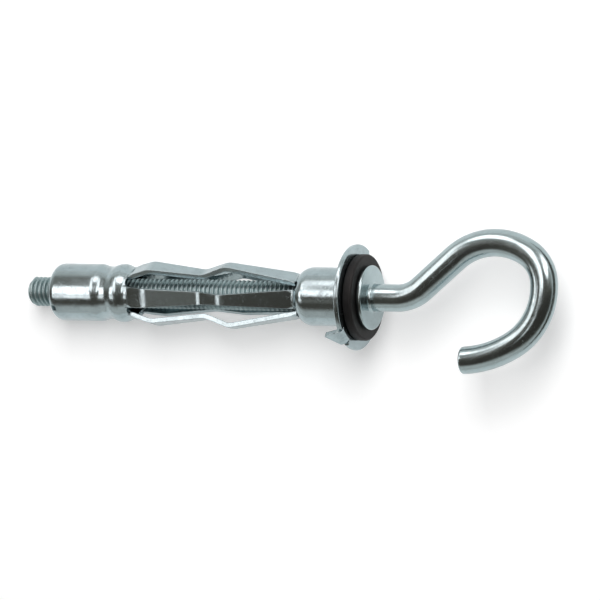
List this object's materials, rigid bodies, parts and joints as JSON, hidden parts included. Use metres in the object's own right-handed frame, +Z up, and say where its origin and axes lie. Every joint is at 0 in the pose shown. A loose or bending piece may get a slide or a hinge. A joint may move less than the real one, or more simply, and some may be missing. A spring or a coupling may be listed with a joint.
{
  "type": "swag hook",
  "caption": "Zinc-plated ceiling hook: open round hook with a collar on a threaded shank, in a hollow-wall anchor sleeve with folding legs, a pronged flange and a soft ring.",
  "frame": {"origin": "on the anchor's axis, in the plane of the flange face that seats on the ceiling", "axes": "+Z up along the anchor into the ceiling; the hook hangs below in the XZ plane, with its mouth to -X"},
  "size_m": [0.023, 0.017, 0.0934],
  "materials": {
    "zinc_sheet": "bright zinc plate",
    "zinc_nut": "bright zinc plate",
    "black_rubber": "satin black",
    "zinc_wire": "bright zinc plate"
  },
  "bodies": {
    "anchor": {"anchor_sleeve": "zinc_sheet", "captive_nut": "zinc_nut"},
    "ring": {"cushion_ring": "black_rubber"},
    "hook": {"hook_bolt": "zinc_wire"}
  },
  "joints": [
    {"name": "hook_draw", "type": "slide", "parent": "anchor", "child": "ring", "axis": [0, 0, -1], "range_m": [0, 0.012]},
    {"name": "hook_turn", "type": "hinge", "parent": "ring", "child": "hook", "pos_m": [0, 0, 0], "axis": [0, 0, -1], "range_deg": [0, 5400]}
  ],
  "couplings": [
    {"joint": "hook_draw", "follows": "hook_turn", "m_per_rad": 0.00012732}
  ]
}
